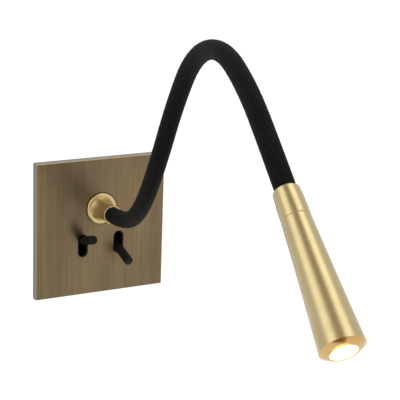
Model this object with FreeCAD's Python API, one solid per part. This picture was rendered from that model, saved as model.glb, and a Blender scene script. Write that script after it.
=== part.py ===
"""A bedside wall reading lamp.

A square brass plate hides a wall bracket, two toggle switches and the wiring.  A trumpet
collar on the plate carries a semi-rigid arm in a braided sleeve, and the arm carries a slim
cone-shaped head with one light source behind a lens.

Frame: X to the right, Z up, the wall is the plane y = 0 and the lamp faces -Y.  The origin is
the middle of the plate, on the wall.  Sizes are in millimetres.
"""
import FreeCAD
import Part
import math
import os

from FreeCAD import Placement, Rotation, Vector

# ---------------------------------------------------------------- fits
THREAD_GAP = 0.05          # radial, between a screw and its thread
SLIDE_GAP = 0.10           # radial, where one piece slides into another
RUNNING_GAP = 0.05         # radial, between a pivot pin and the hub that turns on it
JOINT_GAP = 0.30           # between the rounded end of one arm stretch and the next
EDGE_GAP = 0.25            # round the bracket, in the pocket of the plate
PAST = 1.0                 # how far a cutter runs past the face that it opens
PARALLEL = 1e-6            # below this, two directions or places count as the same

# ---------------------------------------------------------------- face plate
PLATE_SIZE = 100.0
PLATE_THICKNESS = 6.0
PLATE_EDGE = 0.4           # chamfer round the front
POCKET_SIZE = 76.0
POCKET_DEPTH = 4.5
STUD_RADIUS = 1.5          # welded studs that hold the switch carrier
STUD_LENGTH = 4.2
STUD_WELD = 0.5            # how deep a stud is welded into the plate
STUD_SIDE_X = 15.5         # two studs beside the collar
STUD_SIDE_Z = 9.0
STUD_LOW_Z = -19.5         # one stud between the switches

# ---------------------------------------------------------------- wall bracket
BRACKET_THICKNESS = 1.5
FIXING_SPACING = 60.3      # between the two wall screws
FIXING_HOLE_RADIUS = 2.0
BRACKET_DROP = 2.0         # room under the bracket, to lift the plate off its tongues
WINDOW_MARGIN = 0.8        # round what passes through the bracket
UPPER_WINDOW_HALF = 19.0
TONGUE_X = 20.0
TONGUE_WIDTH = 8.0
TONGUE_THICKNESS = 1.2
TONGUE_REACH = 1.4         # how far a tongue enters the plate
TONGUE_STEP = 0.6          # how far a tongue stands in front of the bracket
GRUB_X = 25.0
GRUB_RADIUS = 1.5
GRUB_SOCKET_RADIUS = 0.75
GRUB_SOCKET_DEPTH = 2.0
GRUB_SINK = 3.0            # how deep the grub screws sit in the lower edge
LUG_WIDTH = 8.0
LUG_DEPTH = 2.0            # how far the lugs of the bracket stand forward
LUG_HEIGHT = 3.0

# ---------------------------------------------------------------- collar and its fixing
COLLAR_Z = 13.4
COLLAR_LENGTH = 19.0
FLANGE_RADIUS = 11.3
FLANGE_EDGE = 1.0          # rounded rim of the flange
FLANGE_LAND = 0.7
FLANGE_RING = 1.5          # flat ring between the rim and the foot of the trumpet
TRUMPET_HEIGHT = 11.0      # where the trumpet has become the straight neck
NECK_RADIUS = 6.5
MOUTH_ROUND = 0.35
NIPPLE_RADIUS = 5.0        # an M10 fine thread
NIPPLE_BORE = 3.4
NIPPLE_TO_CONDUIT = 0.7
NIPPLE_BEHIND_WALL = 6.0
TAG_THICKNESS = 0.8
TAG_RADIUS = 8.0
TAG_ARM_LENGTH = 8.0
TAG_ARM_WIDTH = 5.0
WASHER_THICKNESS = 1.0
WASHER_RADIUS = 8.5
NUT_THICKNESS = 3.0
NUT_FLATS = 14.0
GRIP_RADIUS = 6.4
GRIP_LENGTH = 8.0
GRIP_BEHIND_NUT = 0.4

# ---------------------------------------------------------------- switches
SWITCH_X = 14.1
SWITCH_Z = -13.4
SLOT_END_ROOM = 0.7        # beyond the lever, at the ends of its travel
LINING_WALL = 0.4          # the front of a housing lines the slot of the plate
LINING_SET_BACK = 0.3      # behind the front of the plate
CARRIER_THICKNESS = 1.5
CARRIER_HALF_WIDTH = 25.5
CARRIER_BOTTOM = -28.0
CARRIER_TOP = 33.0
CARRIER_CORNER = 3.0
HOUSING_WIDTH = 12.0
HOUSING_HEIGHT = 27.0
HOUSING_DEPTH = 21.0
HOUSING_EDGE = 1.0         # rounded long edges
CAVITY_DEPTH = 18.5
PIVOT_BEHIND_FACE = 12.8
PIVOT_RADIUS = 1.25
LEVER_TILT = 17.4          # degrees to each side of level
LEVER_RADIUS = 3.2
LEVER_SIDE_ROOM = 0.3
LEVER_REACH = 33.0         # pivot to tip
LEVER_TIP_ROUND = 1.2
HUB_RADIUS = 4.3
HUB_SIDE_ROOM = 0.2
TAIL_RADIUS = 1.8
TAIL_LENGTH = 7.0
CONTACT_THICKNESS = 0.8
CONTACT_WIDTH = 4.0
CONTACT_LENGTH = 4.5       # inside the housing
CONTACT_TAB = 5.0          # behind the housing
SMALL_SCREW_RADIUS = 1.0
SMALL_SCREW_LENGTH = 8.0
SMALL_HEAD_RADIUS = 1.9
SMALL_HEAD_HEIGHT = 1.0
STUD_NUT_FLATS = 5.5
STUD_NUT_THICKNESS = 2.2

# ---------------------------------------------------------------- terminal block
BLOCK_WIDTH = 24.0
BLOCK_HEIGHT = 8.0
BLOCK_DEPTH = 12.0
BLOCK_BOTTOM = 22.6
POLES = 3
ENTRY_RADIUS = 1.5
CLAMP_SCREW_RADIUS = 1.4
CLAMP_SCREW_LENGTH = 4.0
CLAMP_SCREW_SINK = 1.5
SCREW_SLOT_WIDTH = 0.6
SCREW_SLOT_DEPTH = 0.6

# ---------------------------------------------------------------- wires behind the plate
WIRE_RADIUS = 0.9
WIRE_BEND = 2.5            # radius of a bend
WIRE_TURN = 4.5            # from a tab or the cable to the first bend
WIRE_OVER_BLOCK = 4.0      # above the terminal block
WIRE_BEHIND_BLOCK = 4.0
WIRE_BESIDE = 7.0          # between a wire and the tab that it passes
LINK_DROP = 4.5            # how far the link between the switches hangs below the tabs

# ---------------------------------------------------------------- arm
SLEEVE_RADIUS = 5.65
CONDUIT_RADIUS = 4.6
CONDUIT_BORE = 3.1
CABLE_RADIUS = 2.9
STRETCH_LENGTH = 47.8
# How each stretch is bent, from the collar to the head: degrees up, and degrees sideways.
BENDS = [
    (29.4, -11.7),
    (22.7, 3.9),
    (9.6, 2.6),
    (-12.2, -2.4),
    (-35.0, -1.9),
    (-31.6, -2.2),
    (-13.7, -0.2),
    (-8.1, 2.9),
]
SLEEVE_IN_COLLAR = 5.0
CONDUIT_IN_COLLAR = 13.0

# ---------------------------------------------------------------- head
HEAD_LENGTH = 90.0         # from the top rim to the widest ring
SEAM_AT = 17.5             # joint between the neck cap and the shell
TOP_RADIUS = 7.05
TOP_ROUND = 0.8
CAP_MIDDLE_RADIUS = 7.6
SEAM_RADIUS = 7.7
SEAM_EDGE = 0.25           # chamfer on both sides of the joint
SHELL_MIDDLE_RADIUS = 9.55
END_RADIUS = 11.6
OPENING_RADIUS = 7.15
NOSE_LENGTH = 2.4
NOSE_RIM = 0.45
NOSE_SWELL = 0.15          # the slope of the front ring is slightly rounded
SLEEVE_IN_CAP = 5.0
CONDUIT_IN_CAP = 13.0
CAP_GRUB_AT = 9.5
SPIGOT_RADIUS = 5.3
SPIGOT_LENGTH = 8.0
SHELL_WALL = 1.6
SPIGOT_SHOULDER = 4.5      # solid metal between the spigot and the hollow of the shell
MODULE_BORE = 8.6
FRONT_BORE = 9.4
FRONT_BORE_DEPTH = 6.5     # behind the widest ring
BOARD_DEPTH = 15.0         # behind the widest ring
SLUG_LENGTH = 29.0         # the heat sink, behind the board
SLUG_STRAIGHT = 9.0        # of which this much fits the straight bore, and the rest tapers
SLUG_BORE = 2.3
BOARD_THICKNESS = 1.6
BOARD_SCREW_AT = 6.3       # from the axis
EMITTER_SIZE = 3.5
EMITTER_THICKNESS = 0.9
EMITTER_DOME = 1.3
LENS_RADIUS = 8.05
LENS_FLANGE = 1.4
LENS_SET_BACK = 0.2        # behind the front of the ring
LIP_THICKNESS = 1.2        # the lip of the ring that holds the lens
LENS_CONE_FRONT = 7.3
LENS_CONE_BACK = 3.3
LENS_CONE_LENGTH = 11.6
LENS_RECESS_RADIUS = 1.9
LENS_RECESS_DEPTH = 2.6
GASKET_THICKNESS = 0.5
HOLDER_WALL_GAP = 0.25     # between the lens cone and its holder
LEAD_RADIUS = 0.6
LEAD_OFFSET = 1.0
CABLE_PAST_SPIGOT = 3.0
CABLE_PAST_GRIP = 3.0

# ---------------------------------------------------------------- worked out from the above
FACE_Y = -PLATE_THICKNESS
POCKET_FLOOR_Y = -POCKET_DEPTH
CARRIER_BACK_Y = POCKET_FLOOR_Y + CARRIER_THICKNESS
NIPPLE_IN_COLLAR = COLLAR_LENGTH - CONDUIT_IN_COLLAR - NIPPLE_TO_CONDUIT
PIVOT_Y = FACE_Y + PIVOT_BEHIND_FACE
LEVER_SWING = (PIVOT_BEHIND_FACE * math.tan(math.radians(LEVER_TILT))
               + LEVER_RADIUS / math.cos(math.radians(LEVER_TILT)))
BORE_WIDTH = 2 * (LEVER_RADIUS + LEVER_SIDE_ROOM)          # inside a switch housing
BORE_HEIGHT = 2 * (LEVER_SWING + SLOT_END_ROOM)
SLOT_WIDTH = BORE_WIDTH + 2 * (LINING_WALL + SLIDE_GAP)    # in the plate
SLOT_HEIGHT = BORE_HEIGHT + 2 * (LINING_WALL + SLIDE_GAP)
HUB_WIDTH = BORE_WIDTH - 2 * HUB_SIDE_ROOM
LAST = len(BENDS) - 1
CAVITY_START = SEAM_AT + SPIGOT_LENGTH + SPIGOT_SHOULDER
FRONT_BORE_START = HEAD_LENGTH - FRONT_BORE_DEPTH
BOARD_AT = HEAD_LENGTH - BOARD_DEPTH
SLUG_SEAT_AT = BOARD_AT - SLUG_STRAIGHT
SLUG_START = BOARD_AT - SLUG_LENGTH
X_AXIS = Vector(1, 0, 0)
Y_AXIS = Vector(0, 1, 0)
Z_AXIS = Vector(0, 0, 1)
OUT = Vector(0, -1, 0)     # away from the wall


# ---------------------------------------------------------------- shapes in common use
def block(x_low, x_high, y_low, y_high, z_low, z_high):
    return Part.makeBox(x_high - x_low, y_high - y_low, z_high - z_low, Vector(x_low, y_low, z_low))


def rod(start, direction, radius, length):
    return Part.makeCylinder(radius, length, start, direction)


def ball(centre, radius, pole=Z_AXIS):
    """A ball with its poles on `pole`, such as the axis of the tube whose end it rounds."""
    return Part.makeSphere(radius, centre, pole)


def hex_prism(start, direction, flats, length):
    """A hexagonal prism that is `flats` wide, across its flats."""
    corner = flats / math.sqrt(3)
    points = [Vector(corner * math.cos(math.radians(a)), corner * math.sin(math.radians(a)), 0)
              for a in range(0, 361, 60)]
    prism = Part.Face(Part.makePolygon(points)).extrude(Vector(0, 0, length))
    prism.Placement = Placement(start, Rotation(Z_AXIS, direction))
    return prism


def turned(outline):
    """Turn an outline about Z.  Each entry is (radius, height), or a middle point and an end
    point of an arc: (middle radius, middle height, end radius, end height)."""
    edges = []
    here = Vector(outline[0][0], 0, outline[0][1])
    for step in outline[1:] + outline[:1]:
        there = Vector(step[-2], 0, step[-1])
        if len(step) == 4:
            edges.append(Part.Arc(here, Vector(step[0], 0, step[1]), there).toShape())
        else:
            edges.append(Part.LineSegment(here, there).toShape())
        here = there
    return Part.Face(Part.Wire(edges)).revolve(Vector(0, 0, 0), Z_AXIS, 360)


def quarter_round(radius, height, size):
    """The arc of an outer edge that goes up the side at `radius` and ends on top at `height`."""
    inset = size * (1 - math.sqrt(0.5))
    return (radius - inset, height - inset, radius - size, height)


def placed(shape, origin, direction):
    shape = shape.copy()
    shape.Placement = Placement(origin, Rotation(Z_AXIS, direction)).multiply(shape.Placement)
    return shape


def grub_screw(start, direction, length):
    """A grub screw with its hexagon socket at `start`, pointing along `direction`."""
    screw = rod(start, direction, GRUB_RADIUS, length)
    socket_flats = 2 * GRUB_SOCKET_RADIUS
    return screw.cut(hex_prism(start, direction, socket_flats, GRUB_SOCKET_DEPTH))


def slot_block(x, width, height, y_low, y_high):
    """The round-ended slot for a lever, as a solid."""
    straight = (height - width) / 2
    solid = block(x - width / 2, x + width / 2, y_low, y_high, SWITCH_Z - straight, SWITCH_Z + straight)
    for end in (SWITCH_Z - straight, SWITCH_Z + straight):
        solid = solid.fuse(rod(Vector(x, y_low, end), Y_AXIS, width / 2, y_high - y_low))
    return solid.removeSplitter()


def edges_along(solid, axis):
    return [edge for edge in solid.Edges if edge.tangentAt(edge.FirstParameter).cross(axis).Length < PARALLEL]


def stud_places():
    return [(-STUD_SIDE_X, STUD_SIDE_Z), (STUD_SIDE_X, STUD_SIDE_Z), (0, STUD_LOW_Z)]


# ---------------------------------------------------------------- plate and bracket
def face_plate():
    half = PLATE_SIZE / 2
    plate = block(-half, half, FACE_Y, 0, -half, half)
    front = [edge for edge in plate.Edges if all(abs(v.Y - FACE_Y) < PARALLEL for v in edge.Vertexes)]
    plate = plate.makeChamfer(PLATE_EDGE, front)
    pocket = POCKET_SIZE / 2
    plate = plate.cut(block(-pocket, pocket, POCKET_FLOOR_Y, PAST, -pocket, pocket))
    for x in (-SWITCH_X, SWITCH_X):
        plate = plate.cut(slot_block(x, SLOT_WIDTH, SLOT_HEIGHT, FACE_Y - PAST, POCKET_FLOOR_Y + PAST))
    collar_hole = NIPPLE_RADIUS + SLIDE_GAP
    plate = plate.cut(rod(Vector(0, FACE_Y - PAST, COLLAR_Z), Y_AXIS, collar_hole, PLATE_THICKNESS))
    for side in (-1, 1):
        # The undercut slot for a tongue of the bracket.
        x = side * TONGUE_X
        reach = TONGUE_WIDTH / 2 + EDGE_GAP
        front_y = tongue_front() - SLIDE_GAP
        back_y = tongue_front() + TONGUE_THICKNESS + SLIDE_GAP
        top = pocket + TONGUE_REACH + EDGE_GAP
        plate = plate.cut(block(x - reach, x + reach, front_y, back_y, pocket - PAST, top))
        # The threaded hole for a grub screw.
        low = Vector(side * GRUB_X, grub_y(), -half - PAST)
        plate = plate.cut(rod(low, Z_AXIS, GRUB_RADIUS + THREAD_GAP, half - pocket + 2 * PAST))
    for x, z in stud_places():
        root = Vector(x, POCKET_FLOOR_Y - STUD_WELD, z)
        plate = plate.fuse(rod(root, Y_AXIS, STUD_RADIUS, STUD_WELD + STUD_LENGTH))
    return plate.removeSplitter()


def tongue_front():
    return -BRACKET_THICKNESS - TONGUE_STEP - TONGUE_THICKNESS


def grub_y():
    return -BRACKET_THICKNESS - LUG_DEPTH / 2


def bracket_limits():
    """The side, bottom and top of the bracket in the pocket."""
    pocket = POCKET_SIZE / 2
    return pocket - EDGE_GAP, -pocket + BRACKET_DROP, pocket - EDGE_GAP


def wall_bracket():
    side, bottom, top = bracket_limits()
    bracket = block(-side, side, -BRACKET_THICKNESS, 0, bottom, top)
    # The lower window lets the switch housings through, the upper one the nut and terminals.
    half = SWITCH_X + HOUSING_WIDTH / 2 + WINDOW_MARGIN
    low = SWITCH_Z - HOUSING_HEIGHT / 2 - WINDOW_MARGIN
    high = SWITCH_Z + HOUSING_HEIGHT / 2 + WINDOW_MARGIN
    bracket = bracket.cut(block(-half, half, -BRACKET_THICKNESS - PAST, PAST, low, high))
    low = COLLAR_Z - WASHER_RADIUS - WINDOW_MARGIN
    high = BLOCK_BOTTOM + BLOCK_HEIGHT + WINDOW_MARGIN
    window = block(-UPPER_WINDOW_HALF, UPPER_WINDOW_HALF, -BRACKET_THICKNESS - PAST, PAST, low, high)
    bracket = bracket.cut(window)
    for x in (-FIXING_SPACING / 2, FIXING_SPACING / 2):
        start = Vector(x, -BRACKET_THICKNESS - PAST, 0)
        bracket = bracket.cut(rod(start, Y_AXIS, FIXING_HOLE_RADIUS, BRACKET_THICKNESS + 2 * PAST))
    for way in (-1, 1):
        x = way * TONGUE_X
        reach = TONGUE_WIDTH / 2
        riser = block(x - reach, x + reach, tongue_front(), 0, top - BRACKET_THICKNESS, top)
        tongue_back = tongue_front() + TONGUE_THICKNESS
        tongue = block(x - reach, x + reach, tongue_front(), tongue_back, top - BRACKET_THICKNESS,
                       top + EDGE_GAP + TONGUE_REACH)
        x = way * GRUB_X
        reach = LUG_WIDTH / 2
        lug = block(x - reach, x + reach, -BRACKET_THICKNESS - LUG_DEPTH, 0, bottom, bottom + LUG_HEIGHT)
        bracket = bracket.fuse([riser, tongue, lug])
    return bracket.removeSplitter()


def plate_grub_screws():
    _, bottom, _ = bracket_limits()
    low = -PLATE_SIZE / 2 + GRUB_SINK
    screws = [grub_screw(Vector(x, grub_y(), low), Z_AXIS, bottom - low) for x in (-GRUB_X, GRUB_X)]
    return Part.makeCompound(screws)


# ---------------------------------------------------------------- collar and what clamps it
def collar():
    rim_top = FLANGE_LAND + FLANGE_EDGE
    foot = FLANGE_RADIUS - FLANGE_EDGE - FLANGE_RING
    # The trumpet is an arc that is tangent to the straight neck.
    drop = TRUMPET_HEIGHT - rim_top
    flare = foot - NECK_RADIUS
    sweep_radius = (flare ** 2 + drop ** 2) / (2 * flare)
    half_angle = math.asin(drop / sweep_radius) / 2
    middle_r = NECK_RADIUS + sweep_radius * (1 - math.cos(half_angle))
    middle_h = TRUMPET_HEIGHT - sweep_radius * math.sin(half_angle)
    mouth = SLEEVE_RADIUS + SLIDE_GAP
    conduit = CONDUIT_RADIUS + SLIDE_GAP
    nipple = NIPPLE_RADIUS + THREAD_GAP
    sleeve_end = COLLAR_LENGTH - SLEEVE_IN_COLLAR - SLIDE_GAP
    conduit_end = COLLAR_LENGTH - CONDUIT_IN_COLLAR - SLIDE_GAP
    body = turned([
        (nipple, 0),
        (FLANGE_RADIUS, 0),
        (FLANGE_RADIUS, FLANGE_LAND),
        quarter_round(FLANGE_RADIUS, rim_top, FLANGE_EDGE),
        (foot, rim_top),
        (middle_r, middle_h, NECK_RADIUS, TRUMPET_HEIGHT),
        (NECK_RADIUS, COLLAR_LENGTH - MOUTH_ROUND),
        quarter_round(NECK_RADIUS, COLLAR_LENGTH, MOUTH_ROUND),
        (mouth, COLLAR_LENGTH),
        (mouth, sleeve_end),
        (conduit, sleeve_end),
        (conduit, conduit_end),
        (nipple, conduit_end),
    ])
    hole = rod(Vector(0, 0, collar_grub_height()), Vector(0, -1, 0), GRUB_RADIUS + THREAD_GAP, FLANGE_RADIUS)
    return placed(body, Vector(0, FACE_Y, COLLAR_Z), OUT).cut(collar_place(hole))


def collar_place(shape):
    """Place a shape on the collar's axis, with its own -Y turned to face down."""
    turn = Rotation(X_AXIS, Vector(0, 0, 1), OUT, "ZXY")
    shape = shape.copy()
    shape.Placement = Placement(Vector(0, FACE_Y, COLLAR_Z), turn).multiply(shape.Placement)
    return shape


def collar_grub_height():
    """Half way along the conduit, where it lies bare in the collar."""
    return COLLAR_LENGTH - (SLEEVE_IN_COLLAR + CONDUIT_IN_COLLAR) / 2


def collar_grub_screw():
    outside = NECK_RADIUS
    screw = grub_screw(Vector(0, -outside, collar_grub_height()), Y_AXIS, outside - CONDUIT_RADIUS)
    return collar_place(screw)


def nipple():
    front = FACE_Y - NIPPLE_IN_COLLAR
    length = NIPPLE_BEHIND_WALL - front
    start = Vector(0, front, COLLAR_Z)
    return rod(start, Y_AXIS, NIPPLE_RADIUS, length).cut(rod(start, Y_AXIS, NIPPLE_BORE, length))


def earth_tag():
    start = Vector(0, CARRIER_BACK_Y, COLLAR_Z)
    tag = rod(start, Y_AXIS, TAG_RADIUS, TAG_THICKNESS)
    arm = block(-TAG_RADIUS - TAG_ARM_LENGTH, 0, CARRIER_BACK_Y, CARRIER_BACK_Y + TAG_THICKNESS,
                COLLAR_Z + TAG_RADIUS - TAG_ARM_WIDTH, COLLAR_Z + TAG_RADIUS)
    return tag.fuse(arm).cut(rod(start, Y_AXIS, NIPPLE_RADIUS + SLIDE_GAP, TAG_THICKNESS)).removeSplitter()


def nipple_washer():
    start = Vector(0, CARRIER_BACK_Y + TAG_THICKNESS, COLLAR_Z)
    ring = rod(start, Y_AXIS, WASHER_RADIUS, WASHER_THICKNESS)
    return ring.cut(rod(start, Y_AXIS, NIPPLE_RADIUS + SLIDE_GAP, WASHER_THICKNESS))


def nut_start_y():
    return CARRIER_BACK_Y + TAG_THICKNESS + WASHER_THICKNESS


def nipple_nut():
    start = Vector(0, nut_start_y(), COLLAR_Z)
    nut = hex_prism(start, Y_AXIS, NUT_FLATS, NUT_THICKNESS)
    return nut.cut(rod(start, Y_AXIS, NIPPLE_RADIUS + THREAD_GAP, NUT_THICKNESS))


def cable_grip():
    start = Vector(0, nut_start_y() + NUT_THICKNESS + GRIP_BEHIND_NUT, COLLAR_Z)
    inside = NIPPLE_BEHIND_WALL + SLIDE_GAP - start.y
    grip = rod(start, Y_AXIS, GRIP_RADIUS, GRIP_LENGTH)
    grip = grip.cut(rod(start, Y_AXIS, NIPPLE_RADIUS + THREAD_GAP, inside))
    return grip.cut(rod(start, Y_AXIS, CABLE_RADIUS + SLIDE_GAP, GRIP_LENGTH))


# ---------------------------------------------------------------- switches
def switch_carrier():
    y_low, y_high = POCKET_FLOOR_Y, CARRIER_BACK_Y
    plate = block(-CARRIER_HALF_WIDTH, CARRIER_HALF_WIDTH, y_low, y_high, CARRIER_BOTTOM, CARRIER_TOP)
    plate = plate.makeFillet(CARRIER_CORNER, edges_along(plate, Y_AXIS))
    for x in (-SWITCH_X, SWITCH_X):
        plate = plate.cut(slot_block(x, SLOT_WIDTH, SLOT_HEIGHT, y_low - PAST, y_high + PAST))
        for z in screw_heights():
            plate = plate.cut(countersunk_hole(x, z))
    through = CARRIER_THICKNESS + 2 * PAST
    plate = plate.cut(rod(Vector(0, y_low - PAST, COLLAR_Z), Y_AXIS, NIPPLE_RADIUS + SLIDE_GAP, through))
    for x, z in stud_places():
        plate = plate.cut(rod(Vector(x, y_low - PAST, z), Y_AXIS, STUD_RADIUS + SLIDE_GAP, through))
    return plate


def screw_heights():
    """Half way between the slot and the upper and lower ends of a switch housing."""
    offset = (HOUSING_HEIGHT + SLOT_HEIGHT) / 4
    return (SWITCH_Z - offset, SWITCH_Z + offset)


def countersunk(x, z, gap, length):
    """The outside of a countersunk screw that goes in from the front of the carrier."""
    start = Vector(x, POCKET_FLOOR_Y, z)
    head = Part.makeCone(SMALL_HEAD_RADIUS + gap, SMALL_SCREW_RADIUS + gap, SMALL_HEAD_HEIGHT, start, Y_AXIS)
    return head.fuse(rod(start, Y_AXIS, SMALL_SCREW_RADIUS + gap, length)).removeSplitter()


def countersunk_hole(x, z):
    return countersunk(x, z, THREAD_GAP, SMALL_SCREW_LENGTH + SLIDE_GAP)


def switch_screws():
    screws = []
    for x in (-SWITCH_X, SWITCH_X):
        for z in screw_heights():
            screw = countersunk(x, z, 0, SMALL_SCREW_LENGTH)
            half = SCREW_SLOT_WIDTH / 2
            slot = block(x - SMALL_HEAD_RADIUS, x + SMALL_HEAD_RADIUS, POCKET_FLOOR_Y,
                         POCKET_FLOOR_Y + SCREW_SLOT_DEPTH, z - half, z + half)
            screws.append(screw.cut(slot))
    return Part.makeCompound(screws)


def carrier_nuts():
    nuts = []
    for x, z in stud_places():
        start = Vector(x, CARRIER_BACK_Y, z)
        nut = hex_prism(start, Y_AXIS, STUD_NUT_FLATS, STUD_NUT_THICKNESS)
        nuts.append(nut.cut(rod(start, Y_AXIS, STUD_RADIUS + THREAD_GAP, STUD_NUT_THICKNESS)))
    return Part.makeCompound(nuts)


def contact_inner_z():
    """The tail of the lever comes to rest just clear of a contact at each end of its travel."""
    return TAIL_LENGTH * math.sin(math.radians(LEVER_TILT)) + TAIL_RADIUS + JOINT_GAP


def contact_blades(x, gap):
    inner = contact_inner_z() - gap
    outer = contact_inner_z() + CONTACT_THICKNESS + gap
    back = CARRIER_BACK_Y + CAVITY_DEPTH
    blades = []
    for low, high in ((-outer, -inner), (inner, outer)):
        blades.append(block(x - CONTACT_WIDTH / 2 - gap, x + CONTACT_WIDTH / 2 + gap, back - CONTACT_LENGTH,
                            CARRIER_BACK_Y + HOUSING_DEPTH + CONTACT_TAB, SWITCH_Z + low, SWITCH_Z + high))
    return blades


def switch_housing(x):
    """A box behind the carrier.  Its front end goes through to line the slot of the plate."""
    y_low = CARRIER_BACK_Y
    half_w, half_h = HOUSING_WIDTH / 2, HOUSING_HEIGHT / 2
    body = block(x - half_w, x + half_w, y_low, y_low + HOUSING_DEPTH, SWITCH_Z - half_h, SWITCH_Z + half_h)
    body = body.makeFillet(HOUSING_EDGE, edges_along(body, Y_AXIS))
    lining_front = FACE_Y + LINING_SET_BACK
    width, height = SLOT_WIDTH - 2 * SLIDE_GAP, SLOT_HEIGHT - 2 * SLIDE_GAP
    lining = slot_block(x, width, height, lining_front, y_low + LINING_WALL)
    bore = slot_block(x, BORE_WIDTH, BORE_HEIGHT, lining_front - PAST, y_low + CAVITY_DEPTH)
    body = body.fuse(lining).cut(bore)
    body = body.cut(rod(Vector(x - HOUSING_WIDTH, PIVOT_Y, SWITCH_Z), X_AXIS, PIVOT_RADIUS + THREAD_GAP,
                        2 * HOUSING_WIDTH))
    for z in screw_heights():
        body = body.cut(countersunk_hole(x, z))
    return body.cut(contact_blades(x, THREAD_GAP))


def switch_pin(x):
    return rod(Vector(x - HOUSING_WIDTH / 2, PIVOT_Y, SWITCH_Z), X_AXIS, PIVOT_RADIUS, HOUSING_WIDTH)


def switch_lever(x, tilt):
    """A toggle lever: a round handle, a hub on the pivot pin and a tail that works the contacts."""
    pivot = Vector(x, PIVOT_Y, SWITCH_Z)
    handle = turned([
        (0, 0),
        (LEVER_RADIUS, 0),
        (LEVER_RADIUS, LEVER_REACH - LEVER_TIP_ROUND),
        quarter_round(LEVER_RADIUS, LEVER_REACH, LEVER_TIP_ROUND),
        (0, LEVER_REACH),
    ])
    tail = turned([
        (0, 0),
        (TAIL_RADIUS, 0),
        (TAIL_RADIUS, TAIL_LENGTH - TAIL_RADIUS),
        (TAIL_RADIUS * math.sqrt(0.5), TAIL_LENGTH - TAIL_RADIUS * (1 - math.sqrt(0.5)), 0, TAIL_LENGTH),
    ])
    angle = math.radians(tilt)
    outward = Vector(0, -math.cos(angle), math.sin(angle))
    hub = rod(pivot - X_AXIS * (HUB_WIDTH / 2), X_AXIS, HUB_RADIUS, HUB_WIDTH)
    lever = hub.fuse([placed(handle, pivot, outward), placed(tail, pivot, outward * -1)])
    bore = rod(pivot - X_AXIS * HUB_WIDTH, X_AXIS, PIVOT_RADIUS + RUNNING_GAP, 2 * HUB_WIDTH)
    return lever.cut(bore).removeSplitter()


# ---------------------------------------------------------------- terminal block
def pole_places():
    pitch = BLOCK_WIDTH / POLES
    return [(i - (POLES - 1) / 2) * pitch for i in range(POLES)]


def terminal_block():
    half = BLOCK_WIDTH / 2
    y_low, y_high = CARRIER_BACK_Y, CARRIER_BACK_Y + BLOCK_DEPTH
    body = block(-half, half, y_low, y_high, BLOCK_BOTTOM, BLOCK_BOTTOM + BLOCK_HEIGHT)
    middle_y, middle_z = (y_low + y_high) / 2, BLOCK_BOTTOM + BLOCK_HEIGHT / 2
    for x in pole_places():
        body = body.cut(rod(Vector(x, middle_y, BLOCK_BOTTOM), Z_AXIS, ENTRY_RADIUS, BLOCK_HEIGHT))
        thread = CLAMP_SCREW_RADIUS + THREAD_GAP
        body = body.cut(rod(Vector(x, middle_y, middle_z), Y_AXIS, thread, BLOCK_DEPTH))
    return body


def terminal_screws():
    y_high = CARRIER_BACK_Y + BLOCK_DEPTH - CLAMP_SCREW_SINK
    middle_z = BLOCK_BOTTOM + BLOCK_HEIGHT / 2
    screws = []
    for x in pole_places():
        tip = Vector(x, y_high - CLAMP_SCREW_LENGTH, middle_z)
        screw = rod(tip, Y_AXIS, CLAMP_SCREW_RADIUS, CLAMP_SCREW_LENGTH)
        slot = block(x - CLAMP_SCREW_RADIUS, x + CLAMP_SCREW_RADIUS, y_high - SCREW_SLOT_DEPTH, y_high,
                     middle_z - SCREW_SLOT_WIDTH / 2, middle_z + SCREW_SLOT_WIDTH / 2)
        screws.append(screw.cut(slot))
    return Part.makeCompound(screws)


# ---------------------------------------------------------------- wires behind the plate
def wire(points):
    """A round wire: straight runs along the points, joined by bends of one radius."""
    points = [Vector(*point) for point in points]
    solid = None
    here = points[0]
    for before, corner, after in zip(points, points[1:], points[2:]):
        ahead = (corner - before).normalize()
        away = (after - corner).normalize()
        turn = ahead.getAngle(away)
        setback = WIRE_BEND * math.tan(turn / 2)
        bend_start = corner - ahead * setback
        axis = ahead.cross(away).normalize()
        run = rod(here, ahead, WIRE_RADIUS, (bend_start - here).Length)
        disc = Part.Face(Part.Wire([Part.Circle(bend_start, ahead, WIRE_RADIUS).toShape()]))
        bend = disc.revolve(bend_start + axis.cross(ahead) * WIRE_BEND, axis, math.degrees(turn))
        solid = run.fuse(bend) if solid is None else solid.fuse([run, bend])
        here = corner + away * setback
    last = points[-1] - here
    return solid.fuse(rod(here, last, WIRE_RADIUS, last.Length)).removeSplitter()


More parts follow.
